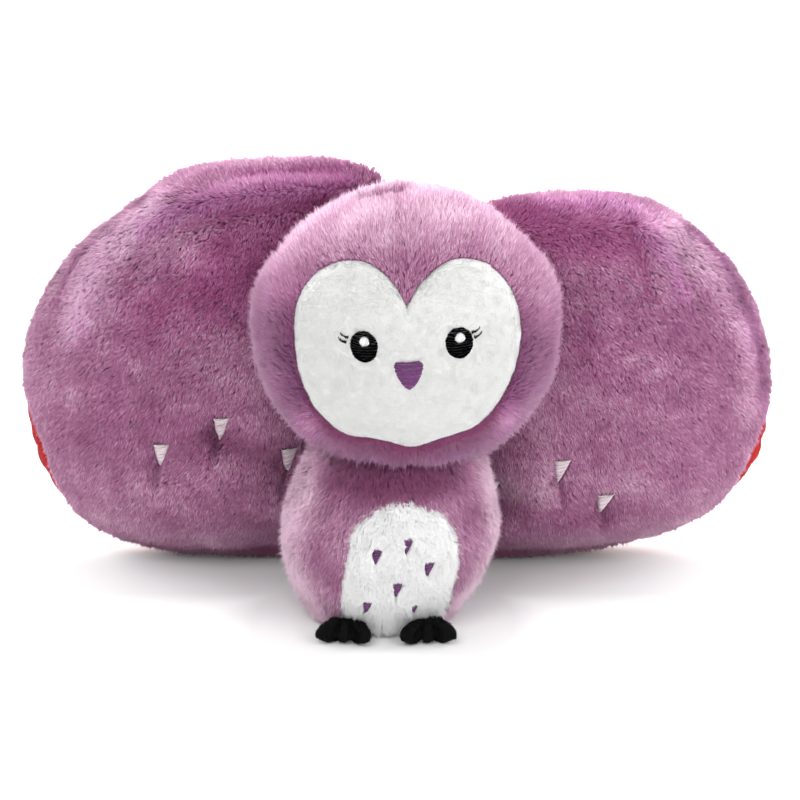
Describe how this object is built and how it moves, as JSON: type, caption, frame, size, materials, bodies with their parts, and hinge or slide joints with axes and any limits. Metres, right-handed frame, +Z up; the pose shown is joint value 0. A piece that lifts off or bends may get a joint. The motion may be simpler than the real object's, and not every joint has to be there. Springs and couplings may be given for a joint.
{
  "type": "plush owl cushion",
  "caption": "Sitting plush owl with an embroidered heart-shaped face, a white belly and large pillow wings hinged at the back seam.",
  "frame": {"origin": "on the floor, at the middle of the whole toy's width and depth", "axes": "+X to the viewer's right along the spread wings, +Y from the face to the back, +Z up"},
  "size_m": [0.481, 0.224, 0.266],
  "materials": {
    "mauve_plush": "short soft pile",
    "white_velour": "smooth short pile",
    "white_plush": "soft pile",
    "red_velour": "smooth short pile",
    "black_plush": "short soft pile",
    "polyester_fibre": "loose fibre",
    "black_thread": "satin stitch",
    "white_thread": "satin stitch",
    "purple_thread": "satin stitch",
    "pale_thread": "satin stitch"
  },
  "bodies": {
    "body": {"body_cover_front": "mauve_plush", "body_cover_back": "mauve_plush", "body_base": "mauve_plush", "belly_panel": "white_plush", "body_fill": "polyester_fibre", "belly_mark_1": "purple_thread", "belly_mark_2": "purple_thread", "belly_mark_3": "purple_thread", "belly_mark_4": "purple_thread", "belly_mark_5": "purple_thread", "belly_mark_6": "purple_thread", "foot_left_cover": "black_plush", "foot_left_fill": "polyester_fibre", "foot_right_cover": "black_plush", "foot_right_fill": "polyester_fibre", "wing_left_root_tape": "mauve_plush", "wing_right_root_tape": "mauve_plush"},
    "head": {"head_cover_left": "mauve_plush", "head_cover_right": "mauve_plush", "head_cover_back": "mauve_plush", "head_fill": "polyester_fibre", "face_panel": "white_velour", "eye_left": "black_thread", "eye_highlight_left": "white_thread", "eyelash_left_lower": "black_thread", "eyelash_left_upper": "black_thread", "eye_right": "black_thread", "eye_highlight_right": "white_thread", "eyelash_right_lower": "black_thread", "eyelash_right_upper": "black_thread", "beak": "purple_thread"},
    "wing_left": {"wing_left_front": "mauve_plush", "wing_left_back": "red_velour", "wing_left_fill": "polyester_fibre", "wing_left_mark_1": "pale_thread", "wing_left_mark_2": "pale_thread", "wing_left_mark_3": "pale_thread"},
    "wing_right": {"wing_right_front": "mauve_plush", "wing_right_back": "red_velour", "wing_right_fill": "polyester_fibre", "wing_right_mark_1": "pale_thread", "wing_right_mark_2": "pale_thread", "wing_right_mark_3": "pale_thread"}
  },
  "joints": [
    {"name": "head_turn", "type": "hinge", "parent": "body", "child": "head", "pos_m": [0.00071, -0.02909, 0.112], "axis": [0, 0, 1], "range_deg": [-12, 12], "stiffness_Nm_per_rad": 0.05},
    {"name": "wing_left_swing", "type": "hinge", "parent": "body", "child": "wing_left", "pos_m": [-0.0053, 0.0499, 0.063], "axis": [0, 0, 1], "range_deg": [-40, 3]},
    {"name": "wing_right_swing", "type": "hinge", "parent": "body", "child": "wing_right", "pos_m": [0.00771, 0.0499, 0.063], "axis": [0, 0, -1], "range_deg": [-40, 3]}
  ]
}
